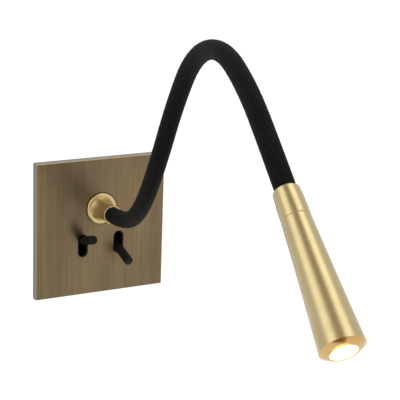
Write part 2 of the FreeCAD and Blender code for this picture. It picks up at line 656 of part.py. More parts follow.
def inner_wires():
    """The feed goes from the terminal block to the left switch and on to the right one.  The left
    switch works the head, and the right one sends its wire back to the block for another light."""
    tab_y = CARRIER_BACK_Y + HOUSING_DEPTH + CONTACT_TAB
    back_y = tab_y + WIRE_TURN
    tab = contact_inner_z() + CONTACT_THICKNESS / 2
    high_tab, low_tab = SWITCH_Z + tab, SWITCH_Z - tab
    apart = WIRE_RADIUS + SLIDE_GAP
    cable_y = cable_back_y()
    entry_y = CARRIER_BACK_Y + BLOCK_DEPTH / 2
    entry_z = BLOCK_BOTTOM + BLOCK_HEIGHT / 2 + CLAMP_SCREW_RADIUS + SLIDE_GAP + WIRE_RADIUS
    over_z = BLOCK_BOTTOM + BLOCK_HEIGHT + WIRE_OVER_BLOCK
    behind_y = CARRIER_BACK_Y + BLOCK_DEPTH + WIRE_BEHIND_BLOCK
    left, middle, right = pole_places()
    outer_x = -SWITCH_X - WIRE_BESIDE
    feed = [
        (-SWITCH_X - apart, tab_y, low_tab),
        (-SWITCH_X - apart, back_y, low_tab),
        (outer_x, back_y, high_tab),
        (outer_x, back_y, BLOCK_BOTTOM - WIRE_BESIDE),
        (left, behind_y, over_z),
        (left, entry_y, over_z),
        (left, entry_y, entry_z),
    ]
    link = [
        (-SWITCH_X + apart, tab_y, low_tab),
        (-SWITCH_X + apart, back_y, low_tab),
        (-SWITCH_X + WIRE_BESIDE, back_y, low_tab - LINK_DROP),
        (SWITCH_X - WIRE_BESIDE, back_y, low_tab - LINK_DROP),
        (SWITCH_X, back_y, low_tab),
        (SWITCH_X, tab_y, low_tab),
    ]
    lamp_feed = [
        (-SWITCH_X, tab_y, high_tab),
        (-SWITCH_X, back_y, high_tab),
        (-SWITCH_X, back_y, COLLAR_Z - WIRE_BESIDE),
        (-apart, cable_y + WIRE_TURN, COLLAR_Z),
        (-apart, cable_y, COLLAR_Z),
    ]
    lamp_return = [
        (apart, cable_y, COLLAR_Z),
        (apart, cable_y + WIRE_TURN, COLLAR_Z),
        (middle, behind_y, BLOCK_BOTTOM),
        (middle, behind_y, over_z),
        (middle, entry_y, over_z),
        (middle, entry_y, entry_z),
    ]
    other_light = [
        (SWITCH_X, tab_y, high_tab),
        (SWITCH_X, back_y, high_tab),
        (SWITCH_X, back_y, BLOCK_BOTTOM - WIRE_BESIDE),
        (right, behind_y, over_z),
        (right, entry_y, over_z),
        (right, entry_y, entry_z),
    ]
    return Part.makeCompound([wire(points) for points in (feed, link, lamp_feed, lamp_return, other_light)])


# ---------------------------------------------------------------- arm
def arm_route():
    """For each stretch: its start, its direction there, the centre and axis of its bend, the
    angle of the bend, and its end and direction there, with the sideways direction at the end."""
    here = Vector(0, FACE_Y - COLLAR_LENGTH, COLLAR_Z)
    ahead = OUT
    side = X_AXIS
    route = []
    for lift, sway in BENDS:
        up = ahead.cross(side)
        angle = math.hypot(lift, sway)
        axis = ahead.cross(up) * (lift / angle) + ahead.cross(side) * (sway / angle)
        radius = STRETCH_LENGTH / math.radians(angle)
        centre = here + axis.cross(ahead) * radius
        turn = Rotation(axis, angle)
        end = centre + turn.multVec(here - centre)
        new_ahead = turn.multVec(ahead)
        new_side = turn.multVec(side)
        route.append({"start": here, "ahead": ahead, "side": side,
                      "centre": centre, "axis": axis, "angle": angle,
                      "end": end, "end_ahead": new_ahead, "end_side": new_side})
        here, ahead, side = end, new_ahead, new_side
    return route


ROUTE = arm_route()


def bent_rod(stretch, radius):
    circle = Part.Circle(stretch["start"], stretch["ahead"], radius).toShape()
    face = Part.Face(Part.Wire([circle]))
    return face.revolve(stretch["centre"], stretch["axis"], stretch["angle"])


def arm_piece(index, radius, bore, into_collar, into_cap):
    """One stretch of a tube (or of a rod, with no bore).  It starts in a rounded end that turns
    in the hollow end of the stretch before it; the first starts in the collar, the last ends
    in the neck cap."""
    stretch = ROUTE[index]
    start, back = stretch["start"], stretch["ahead"] * -1
    end, ahead = stretch["end"], stretch["end_ahead"]
    piece = bent_rod(stretch, radius)
    if index == 0:
        piece = piece.fuse(rod(start, back, radius, into_collar))
    else:
        dome = rod(start, back, radius, SLEEVE_RADIUS).common(ball(start, SLEEVE_RADIUS, stretch["ahead"]))
        piece = piece.fuse(dome)
    if index == LAST:
        piece = piece.fuse(rod(end, ahead, radius, into_cap))
    if bore:
        far = into_collar + into_cap
        hollow = bent_rod(stretch, bore).fuse([rod(start, back, bore, far), rod(end, ahead, bore, far)])
        piece = piece.cut(hollow)
    if index < LAST:
        piece = piece.cut(ball(end, SLEEVE_RADIUS + JOINT_GAP, stretch["end_ahead"]))
    return piece.removeSplitter()


def sleeve(index):
    return arm_piece(index, SLEEVE_RADIUS, CONDUIT_RADIUS + RUNNING_GAP, SLEEVE_IN_COLLAR, SLEEVE_IN_CAP)


def conduit(index):
    return arm_piece(index, CONDUIT_RADIUS, CONDUIT_BORE, CONDUIT_IN_COLLAR, CONDUIT_IN_CAP)


def cable_back_y():
    """The end of the cable's sheath, behind the grip."""
    return nut_start_y() + NUT_THICKNESS + GRIP_BEHIND_NUT + GRIP_LENGTH + CABLE_PAST_GRIP


def cable(index):
    into_collar = cable_back_y() - (FACE_Y - COLLAR_LENGTH)
    into_cap = SEAM_AT + SPIGOT_LENGTH + CABLE_PAST_SPIGOT
    return arm_piece(index, CABLE_RADIUS, 0, into_collar, into_cap)


# ---------------------------------------------------------------- head
def head_place(shape):
    """Put a shape that is built along Z, from the head's top rim, at the end of the arm."""
    last = ROUTE[LAST]
    turn = Rotation(last["end_side"], last["end_side"], last["end_ahead"], "ZXY")
    shape = shape.copy()
    shape.Placement = Placement(last["end"], turn).multiply(shape.Placement)
    return shape


def shell_radius(height):
    """The outside of the shell: an arc through its seam, middle and end radii."""
    low = Vector(SEAM_RADIUS, 0, SEAM_AT + SEAM_EDGE)
    middle = Vector(SHELL_MIDDLE_RADIUS, 0, (SEAM_AT + HEAD_LENGTH) / 2)
    high = Vector(END_RADIUS, 0, HEAD_LENGTH)
    centre = Part.Arc(low, middle, high).toShape().Curve.Center
    radius = (centre - low).Length
    reach = math.sqrt(radius ** 2 - (height - centre.z) ** 2)
    return centre.x - reach if centre.x > SEAM_RADIUS else centre.x + reach


def neck_cap():
    mouth = SLEEVE_RADIUS + SLIDE_GAP
    conduit_bore = CONDUIT_RADIUS + SLIDE_GAP
    cable_bore = CABLE_RADIUS + SLIDE_GAP
    sleeve_end = SLEEVE_IN_CAP + SLIDE_GAP
    conduit_end = CONDUIT_IN_CAP + SLIDE_GAP
    spigot_end = SEAM_AT + SPIGOT_LENGTH
    inset = TOP_ROUND * (1 - math.sqrt(0.5))
    body = turned([
        (mouth, 0),
        (TOP_RADIUS - TOP_ROUND, 0),
        (TOP_RADIUS - inset, inset, TOP_RADIUS, TOP_ROUND),
        (CAP_MIDDLE_RADIUS, SEAM_AT / 2, SEAM_RADIUS, SEAM_AT - SEAM_EDGE),
        (SEAM_RADIUS - SEAM_EDGE, SEAM_AT),
        (SPIGOT_RADIUS, SEAM_AT),
        (SPIGOT_RADIUS, spigot_end),
        (cable_bore, spigot_end),
        (cable_bore, conduit_end),
        (conduit_bore, conduit_end),
        (conduit_bore, sleeve_end),
        (mouth, sleeve_end),
    ])
    return body.cut(rod(Vector(0, 0, CAP_GRUB_AT), OUT, GRUB_RADIUS + THREAD_GAP, SEAM_RADIUS + PAST))


def neck_grub_screw():
    outside = TOP_RADIUS
    return grub_screw(Vector(0, -outside, CAP_GRUB_AT), Y_AXIS, outside - CONDUIT_RADIUS)


def head_shell():
    spigot_bore = SPIGOT_RADIUS + THREAD_GAP
    spigot_end = SEAM_AT + SPIGOT_LENGTH + SLIDE_GAP
    return turned([
        (spigot_bore, SEAM_AT),
        (SEAM_RADIUS - SEAM_EDGE, SEAM_AT),
        (SEAM_RADIUS, SEAM_AT + SEAM_EDGE),
        (SHELL_MIDDLE_RADIUS, (SEAM_AT + HEAD_LENGTH) / 2, END_RADIUS, HEAD_LENGTH),
        (FRONT_BORE, HEAD_LENGTH),
        (FRONT_BORE, FRONT_BORE_START),
        (MODULE_BORE, FRONT_BORE_START),
        (MODULE_BORE, SLUG_SEAT_AT),
        (cavity_radius(CAVITY_START), CAVITY_START),
        (cavity_radius(CAVITY_START), spigot_end),
        (spigot_bore, spigot_end),
    ])


def cavity_radius(height):
    """The taper inside the shell, from its narrow start to the bore for the light module."""
    narrow = shell_radius(CAVITY_START) - SHELL_WALL
    share = (height - CAVITY_START) / (SLUG_SEAT_AT - CAVITY_START)
    return narrow + share * (MODULE_BORE - narrow)


def front_ring():
    front = HEAD_LENGTH + NOSE_LENGTH
    thread = FRONT_BORE - THREAD_GAP
    lens_bore = LENS_RADIUS + SLIDE_GAP
    lip = front - LIP_THICKNESS
    rim = OPENING_RADIUS + NOSE_RIM
    middle_radius = (END_RADIUS + rim) / 2 + NOSE_SWELL
    middle_height = HEAD_LENGTH + NOSE_LENGTH / 2 + NOSE_SWELL
    return turned([
        (thread, HEAD_LENGTH),
        (END_RADIUS, HEAD_LENGTH),
        (middle_radius, middle_height, rim, front),
        (OPENING_RADIUS, front),
        (OPENING_RADIUS, lip),
        (lens_bore, lip),
        (lens_bore, FRONT_BORE_START + SLIDE_GAP),
        (thread, FRONT_BORE_START + SLIDE_GAP),
    ])


def lens_flange_back():
    return HEAD_LENGTH + NOSE_LENGTH - LIP_THICKNESS - LENS_FLANGE


def lens():
    """A clear cone with a flange, and a flat boss in front that fills the opening of the ring."""
    front = HEAD_LENGTH + NOSE_LENGTH - LENS_SET_BACK
    flange_back = lens_flange_back()
    flange_front = flange_back + LENS_FLANGE
    back = flange_back - LENS_CONE_LENGTH
    boss = OPENING_RADIUS - SLIDE_GAP
    return turned([
        (0, front),
        (0, back + LENS_RECESS_DEPTH),
        (LENS_RECESS_RADIUS, back + LENS_RECESS_DEPTH),
        (LENS_RECESS_RADIUS, back),
        (LENS_CONE_BACK, back),
        (LENS_CONE_FRONT, flange_back),
        (LENS_RADIUS, flange_back),
        (LENS_RADIUS, flange_front),
        (boss, flange_front),
        (boss, front),
    ])


def lens_gasket():
    top = lens_flange_back()
    inner = LENS_CONE_FRONT + HOLDER_WALL_GAP
    return turned([
        (inner, top - GASKET_THICKNESS),
        (LENS_RADIUS, top - GASKET_THICKNESS),
        (LENS_RADIUS, top),
        (inner, top),
    ])


def holder_bore(height):
    """The inside of the lens holder follows the cone of the lens at a small distance."""
    share = (lens_flange_back() - height) / LENS_CONE_LENGTH
    return LENS_CONE_FRONT + share * (LENS_CONE_BACK - LENS_CONE_FRONT) + HOLDER_WALL_GAP


def lens_holder():
    top = lens_flange_back() - GASKET_THICKNESS
    base = BOARD_AT + BOARD_THICKNESS
    cone_end = lens_flange_back() - LENS_CONE_LENGTH
    body = turned([
        (holder_bore(cone_end), base),
        (LENS_RADIUS, base),
        (LENS_RADIUS, top),
        (holder_bore(top), top),
        (holder_bore(cone_end), cone_end),
    ])
    for x in (-BOARD_SCREW_AT, BOARD_SCREW_AT):
        room = rod(Vector(x, 0, base), Z_AXIS, SMALL_HEAD_RADIUS + SLIDE_GAP, SMALL_HEAD_HEIGHT + SLIDE_GAP)
        body = body.cut(room)
    return body


def led_emitter():
    base = BOARD_AT + BOARD_THICKNESS
    half = EMITTER_SIZE / 2
    body = Part.makeBox(EMITTER_SIZE, EMITTER_SIZE, EMITTER_THICKNESS, Vector(-half, -half, base))
    dome_centre = Vector(0, 0, base + EMITTER_THICKNESS)
    dome = ball(dome_centre, EMITTER_DOME).common(rod(dome_centre, Z_AXIS, EMITTER_DOME, EMITTER_DOME))
    return body.fuse(dome).removeSplitter()


def led_board():
    board = rod(Vector(0, 0, BOARD_AT), Z_AXIS, MODULE_BORE - SLIDE_GAP, BOARD_THICKNESS)
    for x in (-BOARD_SCREW_AT, BOARD_SCREW_AT):
        hole = rod(Vector(x, 0, BOARD_AT), Z_AXIS, SMALL_SCREW_RADIUS + SLIDE_GAP, BOARD_THICKNESS)
        board = board.cut(hole)
    return board


def board_screws():
    """Two pan-head screws that clamp the board to the heat sink."""
    top = BOARD_AT + BOARD_THICKNESS
    screws = []
    for x in (-BOARD_SCREW_AT, BOARD_SCREW_AT):
        shank_start = top - SMALL_SCREW_LENGTH
        shank = rod(Vector(x, 0, shank_start), Z_AXIS, SMALL_SCREW_RADIUS, SMALL_SCREW_LENGTH)
        head = rod(Vector(x, 0, top), Z_AXIS, SMALL_HEAD_RADIUS, SMALL_HEAD_HEIGHT)
        slot_low = top + SMALL_HEAD_HEIGHT - SCREW_SLOT_DEPTH
        slot = Part.makeBox(2 * SMALL_HEAD_RADIUS, SCREW_SLOT_WIDTH, SCREW_SLOT_DEPTH,
                            Vector(x - SMALL_HEAD_RADIUS, -SCREW_SLOT_WIDTH / 2, slot_low))
        screws.append(shank.fuse(head).removeSplitter().cut(slot))
    return Part.makeCompound(screws)


def heat_sink():
    body = turned([
        (SLUG_BORE, SLUG_START),
        (cavity_radius(SLUG_START) - SLIDE_GAP, SLUG_START),
        (MODULE_BORE - SLIDE_GAP, SLUG_SEAT_AT),
        (MODULE_BORE - SLIDE_GAP, BOARD_AT),
        (SLUG_BORE, BOARD_AT),
    ])
    hole_length = SMALL_SCREW_LENGTH - BOARD_THICKNESS + SLIDE_GAP
    for x in (-BOARD_SCREW_AT, BOARD_SCREW_AT):
        start = Vector(x, 0, BOARD_AT - hole_length)
        body = body.cut(rod(start, Z_AXIS, SMALL_SCREW_RADIUS + THREAD_GAP, hole_length))
    return body


def led_leads():
    """The two cores of the cable, from its end to the back of the board."""
    start = SEAM_AT + SPIGOT_LENGTH + CABLE_PAST_SPIGOT
    length = BOARD_AT - start
    leads = [rod(Vector(x, 0, start), Z_AXIS, LEAD_RADIUS, length) for x in (-LEAD_OFFSET, LEAD_OFFSET)]
    return Part.makeCompound(leads)


# ---------------------------------------------------------------- the whole lamp
def build():
    nodes = {
        "face_plate": face_plate(),
        "wall_bracket": wall_bracket(),
        "plate_grub_screws": plate_grub_screws(),
        "collar": collar(),
        "collar_grub_screw": collar_grub_screw(),
        "nipple": nipple(),
        "earth_tag": earth_tag(),
        "nipple_washer": nipple_washer(),
        "nipple_nut": nipple_nut(),
        "cable_grip": cable_grip(),
        "switch_carrier": switch_carrier(),
        "carrier_nuts": carrier_nuts(),
        "switch_screws": switch_screws(),
        "terminal_block": terminal_block(),
        "terminal_screws": terminal_screws(),
        "inner_wires": inner_wires(),
    }
    for name, x, tilt in (("left", -SWITCH_X, LEVER_TILT), ("right", SWITCH_X, -LEVER_TILT)):
        nodes[name + "_switch_housing"] = switch_housing(x)
        nodes[name + "_switch_pin"] = switch_pin(x)
        nodes[name + "_switch_contacts"] = Part.makeCompound(contact_blades(x, 0))
        nodes[name + "_switch_lever"] = switch_lever(x, tilt)
    for index in range(len(BENDS)):
        number = str(index + 1)
        nodes["sleeve_" + number] = sleeve(index)
        nodes["conduit_" + number] = conduit(index)
        nodes["cable_" + number] = cable(index)
    head = {
        "neck_cap": neck_cap,
        "neck_grub_screw": neck_grub_screw,
        "head_shell": head_shell,
        "front_ring": front_ring,
        "lens": lens,
        "lens_gasket": lens_gasket,
        "lens_holder": lens_holder,
        "led_emitter": led_emitter,
        "led_board": led_board,
        "board_screws": board_screws,
        "heat_sink": heat_sink,
        "led_leads": led_leads,
    }
    for name, make in head.items():
        nodes[name] = head_place(make())
    return nodes


os.makedirs("parts", exist_ok=True)
for node_name, node_shape in build().items():
    node_shape.exportStep(os.path.join("parts", node_name + ".step"))
    count, volume = len(node_shape.Solids), round(node_shape.Volume, 1)
    print(node_name, count, "solids, volume", volume, node_shape.isValid())
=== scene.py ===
"""The looks of a bedside wall reading lamp: an antique brass plate with two black toggle switches,
a satin brass collar, a braided black arm and a slim satin brass head with its light on."""
import math

import bpy
import numpy as np
from mathutils import Matrix, Vector


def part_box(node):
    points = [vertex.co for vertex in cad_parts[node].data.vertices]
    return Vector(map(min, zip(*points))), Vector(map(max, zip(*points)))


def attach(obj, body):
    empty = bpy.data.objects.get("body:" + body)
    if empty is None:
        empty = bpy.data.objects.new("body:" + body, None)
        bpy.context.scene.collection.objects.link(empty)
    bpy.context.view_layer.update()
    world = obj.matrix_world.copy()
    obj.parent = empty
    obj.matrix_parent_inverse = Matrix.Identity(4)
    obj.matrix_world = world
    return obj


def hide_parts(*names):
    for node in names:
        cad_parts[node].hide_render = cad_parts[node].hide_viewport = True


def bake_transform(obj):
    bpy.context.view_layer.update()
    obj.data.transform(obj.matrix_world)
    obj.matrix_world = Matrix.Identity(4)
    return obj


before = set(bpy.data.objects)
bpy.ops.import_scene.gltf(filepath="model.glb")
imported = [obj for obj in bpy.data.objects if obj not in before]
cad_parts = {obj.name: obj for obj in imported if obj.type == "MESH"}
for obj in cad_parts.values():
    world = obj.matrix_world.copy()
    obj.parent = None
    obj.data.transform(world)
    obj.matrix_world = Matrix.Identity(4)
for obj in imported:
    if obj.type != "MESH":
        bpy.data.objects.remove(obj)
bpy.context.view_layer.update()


# ---- Camera --------------------------------------------------------------------------------
# A long lens about a metre away, to the left of the lamp and above it, turned two degrees about
# its own line of sight.  Its angles, distance and lens were fitted to the outline of the lamp.
MM = 0.001                               # the scene is in metres
SENSOR_WIDTH = 36                        # mm
LENS = 127.90                            # mm
VIEW_ANGLES = (-29.04, 15.52, 2.02)      # azimuth, elevation and roll, in degrees
VIEW_DISTANCE = 1027.86                  # mm, back along the line of sight from the frame's origin
VIEW_ASIDE, VIEW_ABOVE = 74.10, 17.23    # mm, square to the line of sight


def put(name, data):
    """A new object in the scene."""
    made = bpy.data.objects.new(name, data)
    bpy.context.scene.collection.objects.link(made)
    return made


camera_data = bpy.data.cameras.new("camera")
camera_data.sensor_width = SENSOR_WIDTH
camera_data.lens = LENS
camera_data.clip_start = 0.05
camera_data.clip_end = 30
camera = put("camera", camera_data)
bpy.context.scene.camera = camera
azimuth, elevation, roll = (math.radians(angle) for angle in VIEW_ANGLES)
back = Vector((math.sin(azimuth) * math.cos(elevation), -math.cos(azimuth) * math.cos(elevation),
               math.sin(elevation)))
level = Vector((math.cos(azimuth), math.sin(azimuth), 0))
right = level * math.cos(roll) + back.cross(level) * math.sin(roll)
upward = back.cross(right)
camera.location = (back * VIEW_DISTANCE + right * VIEW_ASIDE + upward * VIEW_ABOVE) * MM
camera.rotation_euler = Matrix((right, upward, back)).transposed().to_euler()


# ---- Wall bracket --------------------------------------------------------------------------
# The bracket that is screwed to the wall: pressed from 1.5 mm zinc-plated mild steel.  Its two
# tongues hold the top of the plate and its lugs are gripped by the grub screws below.
def linear(colour):
    """An sRGB hex colour as linear red, green, blue and alpha."""
    parts = [int(colour[i:i + 2], 16) / 255 for i in (1, 3, 5)]
    return [c / 12.92 if c <= 0.04045 else ((c + 0.055) / 1.055) ** 2.4 for c in parts] + [1]


def add(material, kind, inputs=(), stops=(), **settings):
    """Adds a node.  Each input is given a value, or the output of another node that feeds it, and
    a colour ramp is given its stops as (place, hex colour)."""
    tree = material.node_tree
    made = tree.nodes.new(kind)
    for name, value in settings.items():
        setattr(made, name, value)
    for name, value in dict(inputs).items():
        if isinstance(value, bpy.types.NodeSocket):
            tree.links.new(value, made.inputs[name])
        else:
            made.inputs[name].default_value = value
    for number, (place, colour) in enumerate(stops):
        points = made.color_ramp.elements
        point = points[number] if number < 2 else points.new(place)
        point.position, point.color = place, linear(colour)
    return made


def new_material(name):
    """An empty material, and the shader that its nodes feed."""
    material = bpy.data.materials.new(name)
    material.use_nodes = True
    return material, material.node_tree.nodes["Principled BSDF"]


def feed(material, output, socket):
    material.node_tree.links.new(output, socket)


def mottled(name, grain_width, stops, roughness, detail=2.0):
    """A material whose colour varies a little, in grains of a real width, its shader, and the node
    of its grain."""
    material, shader = new_material(name)
    place = add(material, "ShaderNodeTexCoord").outputs["Object"]
    grain = add(material, "ShaderNodeTexNoise", {"Vector": place, "Scale": 1 / grain_width, "Detail": detail})
    colour = add(material, "ShaderNodeValToRGB", {"Fac": grain.outputs["Fac"]}, stops=stops)
    feed(material, colour.outputs[0], shader.inputs["Base Color"])
    shader.inputs["Roughness"].default_value = roughness
    return material, shader, grain


def dress(material, *names):
    """Gives CAD nodes their finish."""
    for name in names:
        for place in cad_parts[name].material_slots:
            place.material = material


# Bright zinc plating on mild steel: bluish grey, with a faint mottle about 1.5 mm wide and a slow
# unevenness in the gloss.
zinc, shader = new_material("mild_steel_bright_zinc_plated")
place = add(zinc, "ShaderNodeTexCoord").outputs["Object"]
mottle = add(zinc, "ShaderNodeTexVoronoi", {"Vector": place, "Scale": 1 / (1.5 * MM)})
cloud = add(zinc, "ShaderNodeTexNoise", {"Vector": place, "Scale": 1 / (12 * MM), "Detail": 3.0})
mixed = add(zinc, "ShaderNodeMath", {0: mottle.outputs["Color"], 1: cloud.outputs["Fac"]},
            operation="MULTIPLY")
colour = add(zinc, "ShaderNodeValToRGB", {"Fac": mixed.outputs[0]},
             stops=[(0.0, "#9a9da2"), (1.0, "#c9ccd1")])
feed(zinc, colour.outputs[0], shader.inputs["Base Color"])
shader.inputs["Metallic"].default_value = 1.0
rough = add(zinc, "ShaderNodeMapRange", {"Value": cloud.outputs["Fac"], "To Min": 0.26, "To Max": 0.44})
feed(zinc, rough.outputs[0], shader.inputs["Roughness"])
dress(zinc, "wall_bracket", "switch_carrier", "carrier_nuts", "nipple_washer", "board_screws",
      "switch_screws", "terminal_screws", "plate_grub_screws", "collar_grub_screw", "neck_grub_screw")


# ---- Face plate ----------------------------------------------------------------------------
# A 100 mm square of 6 mm brass, milled hollow behind.  Its face is brushed upright, darkened with
# a chemical patina, relieved by hand and lacquered, so it is brown in places and golden in others.
antique, shader = new_material("brass_brushed_antiqued_and_lacquered")
place = add(antique, "ShaderNodeTexCoord").outputs["Object"]


def brush_lines(width, length, detail):
    """Noise that is drawn out up the plate, as a brush leaves it."""
    drawn_out = add(antique, "ShaderNodeMapping",
                    {"Vector": place, "Scale": (1 / width, 1 / width, 1 / length)})
    return add(antique, "ShaderNodeTexNoise",
               {"Vector": drawn_out.outputs[0], "Scale": 1.0, "Detail": detail})


# Real brush lines are about 0.1 mm wide.  These are 0.35 mm and 1.6 mm, as coarse as they need to
# be to show, over a slow drift of the patina.
fine = brush_lines(0.35 * MM, 60 * MM, detail=2.0)
broad = brush_lines(1.6 * MM, 110 * MM, detail=3.0)
drift = brush_lines(22 * MM, 70 * MM, detail=2.0)
streaks = add(antique, "ShaderNodeMix", {"Factor": 0.45, 2: broad.outputs["Fac"], 3: fine.outputs["Fac"]})
patina = add(antique, "ShaderNodeMix", {"Factor": 0.5, 2: streaks.outputs[0], 3: drift.outputs["Fac"]})
colour = add(antique, "ShaderNodeValToRGB", {"Fac": patina.outputs[0]},
             stops=[(0.30, "#5d4d3a"), (0.44, "#6c5b43"), (0.56, "#766547"), (0.70, "#84714f")])
# The edges of the face are painted lighter, a painted highlight where the edge catches the light, and the
# sides are painted greyer than the face, a painted reflection of the white surround at a grazing angle.
EDGE_HIGHLIGHT_FROM, EDGE_HIGHLIGHT_TO = 49.3 * MM, 49.7 * MM    # from the middle of the plate
across = add(antique, "ShaderNodeVectorMath", {0: place}, operation="ABSOLUTE")
across = add(antique, "ShaderNodeSeparateXYZ", {0: across.outputs[0]})
out_to = add(antique, "ShaderNodeMath", {0: across.outputs["X"], 1: across.outputs["Z"]}, operation="MAXIMUM")
facing = add(antique, "ShaderNodeVectorMath", {0: add(antique, "ShaderNodeTexCoord").outputs["Normal"]},
             operation="ABSOLUTE")
facing = add(antique, "ShaderNodeSeparateXYZ", {0: facing.outputs[0]})
side = add(antique, "ShaderNodeMapRange", {"Value": facing.outputs["Y"], "From Min": 0.25, "From Max": 0.1})
# Painted reflection: the sides are coloured greyer than the face.
side_reflection_painted = add(antique, "ShaderNodeMix", {"Factor": side.outputs[0], 6: colour.outputs[0], 7: linear("#57534a")},
            data_type="RGBA")
edge_highlight = add(antique, "ShaderNodeMapRange", {"Value": out_to.outputs[0], "From Min": EDGE_HIGHLIGHT_FROM,
                                           "From Max": EDGE_HIGHLIGHT_TO, "To Max": 0.7})
edge_highlight_on_face = add(antique, "ShaderNodeMath", {0: edge_highlight.outputs[0], 1: side.outputs[0]}, operation="SUBTRACT",
            use_clamp=True)
# Painted highlight: the face is coloured lighter along its edges.
edge_highlighted = add(antique, "ShaderNodeMix",
             {"Factor": edge_highlight_on_face.outputs[0], 6: side_reflection_painted.outputs[2], 7: linear("#958869")}, data_type="RGBA")
# Painted shade: a dark ring on the plate round the collar's foot, for the shadow in the corner under the
# flange's edge.
FOOT_SHADE_DARKEST, FOOT_SHADE_ENDS = 11.6 * MM, 12.3 * MM     # from the collar's axis
collar_low, collar_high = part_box("collar")
collar_middle = (0, 0, (collar_low.z + collar_high.z) / 2)
from_collar = add(antique, "ShaderNodeVectorMath", {0: place, 1: collar_middle}, operation="SUBTRACT")
from_collar = add(antique, "ShaderNodeVectorMath", {0: from_collar.outputs[0], 1: (1, 0, 1)},
                  operation="MULTIPLY")
from_collar = add(antique, "ShaderNodeVectorMath", {0: from_collar.outputs[0]}, operation="LENGTH")
foot_shade = add(antique, "ShaderNodeMapRange", {"Value": from_collar.outputs["Value"], "From Min": FOOT_SHADE_ENDS,
                                             "From Max": FOOT_SHADE_DARKEST, "To Max": 0.8})
foot_shaded = add(antique, "ShaderNodeMix",
               {"Factor": foot_shade.outputs[0], 6: edge_highlighted.outputs[2], 7: linear("#241b12")}, data_type="RGBA")
feed(antique, foot_shaded.outputs[2], shader.inputs["Base Color"])
shader.inputs["Metallic"].default_value = 1.0
rough = add(antique, "ShaderNodeMapRange", {"Value": streaks.outputs[0], "From Min": 0.3, "From Max": 0.7,
                                            "To Min": 0.42, "To Max": 0.30})
feed(antique, rough.outputs[0], shader.inputs["Roughness"])
shader.inputs["Coat Weight"].default_value = 0.35
shader.inputs["Coat Roughness"].default_value = 0.32
shader.inputs["Anisotropic"].default_value = 0.7
upright = add(antique, "ShaderNodeCombineXYZ", {"Z": 1.0})
feed(antique, upright.outputs[0], shader.inputs["Tangent"])
scratch = add(antique, "ShaderNodeBump",
              {"Strength": 0.12, "Distance": 0.02 * MM, "Height": fine.outputs["Fac"]})
feed(antique, scratch.outputs[0], shader.inputs["Normal"])
dress(antique, "face_plate")


# ---- Switches ------------------------------------------------------------------------------
# Two toggle switches behind the plate.  Each housing is moulded in black nylon round brass
# contacts, and the lever turns on a steel pin.  The lever is turned from black acetal.
nylon, shader, grain = mottled("nylon_moulded_black", 0.4 * MM, [(0.3, "#131314"), (0.7, "#1e1e20")], 0.5)
shader.inputs["IOR"].default_value = 1.53
grain_bump = add(nylon, "ShaderNodeBump",
                 {"Strength": 0.2, "Distance": 0.03 * MM, "Height": grain.outputs["Fac"]})
feed(nylon, grain_bump.outputs[0], shader.inputs["Normal"])
dress(nylon, "left_switch_housing", "right_switch_housing", "cable_grip")

acetal, shader = new_material("acetal_turned_black")
place = add(acetal, "ShaderNodeTexCoord").outputs["Object"]
haze = add(acetal, "ShaderNodeTexNoise", {"Vector": place, "Scale": 1 / (2.5 * MM), "Detail": 4.0})
colour = add(acetal, "ShaderNodeValToRGB", {"Fac": haze.outputs["Fac"]},
             stops=[(0.35, "#0c0c0d"), (0.65, "#121213")])
feed(acetal, colour.outputs[0], shader.inputs["Base Color"])
rough = add(acetal, "ShaderNodeMapRange", {"Value": haze.outputs["Fac"], "To Min": 0.34, "To Max": 0.48})
feed(acetal, rough.outputs[0], shader.inputs["Roughness"])
shader.inputs["IOR"].default_value = 1.48
shader.inputs["Specular IOR Level"].default_value = 0.17
dress(acetal, "left_switch_lever", "right_switch_lever")

brass, shader = new_material("brass_as_machined")
place = add(brass, "ShaderNodeTexCoord").outputs["Object"]
tarnish = add(brass, "ShaderNodeTexNoise", {"Vector": place, "Scale": 1 / (4 * MM), "Detail": 4.0})
colour = add(brass, "ShaderNodeValToRGB", {"Fac": tarnish.outputs["Fac"]},
             stops=[(0.3, "#b58f4e"), (0.7, "#d9b978")])
feed(brass, colour.outputs[0], shader.inputs["Base Color"])
shader.inputs["Metallic"].default_value = 1.0
rough = add(brass, "ShaderNodeMapRange", {"Value": tarnish.outputs["Fac"], "To Min": 0.42, "To Max": 0.24})
feed(brass, rough.outputs[0], shader.inputs["Roughness"])
dress(brass, "left_switch_contacts", "right_switch_contacts", "nipple", "nipple_nut", "earth_tag")

steel, shader = new_material("steel_ground_bright")
place = add(steel, "ShaderNodeTexCoord").outputs["Object"]
marks = add(steel, "ShaderNodeTexNoise", {"Vector": place, "Scale": 1 / (1.2 * MM), "Detail": 3.0})
colour = add(steel, "ShaderNodeValToRGB", {"Fac": marks.outputs["Fac"]},
             stops=[(0.3, "#a7a8aa"), (0.7, "#c8c9cb")])
feed(steel, colour.outputs[0], shader.inputs["Base Color"])
shader.inputs["Metallic"].default_value = 1.0
rough = add(steel, "ShaderNodeMapRange", {"Value": marks.outputs["Fac"], "To Min": 0.2, "To Max": 0.34})
feed(steel, rough.outputs[0], shader.inputs["Roughness"])
dress(steel, "left_switch_pin", "right_switch_pin")


# ---- Terminal block ------------------------------------------------------------------------
# Three brass ways in a block moulded in white nylon, where the supply wires are clamped.
white_nylon, shader, _ = mottled("nylon_moulded_white", 1.5 * MM, [(0.3, "#d8d6cf"), (0.7, "#e6e4de")],
                                 0.42, detail=3.0)
shader.inputs["IOR"].default_value = 1.53
dress(white_nylon, "terminal_block")


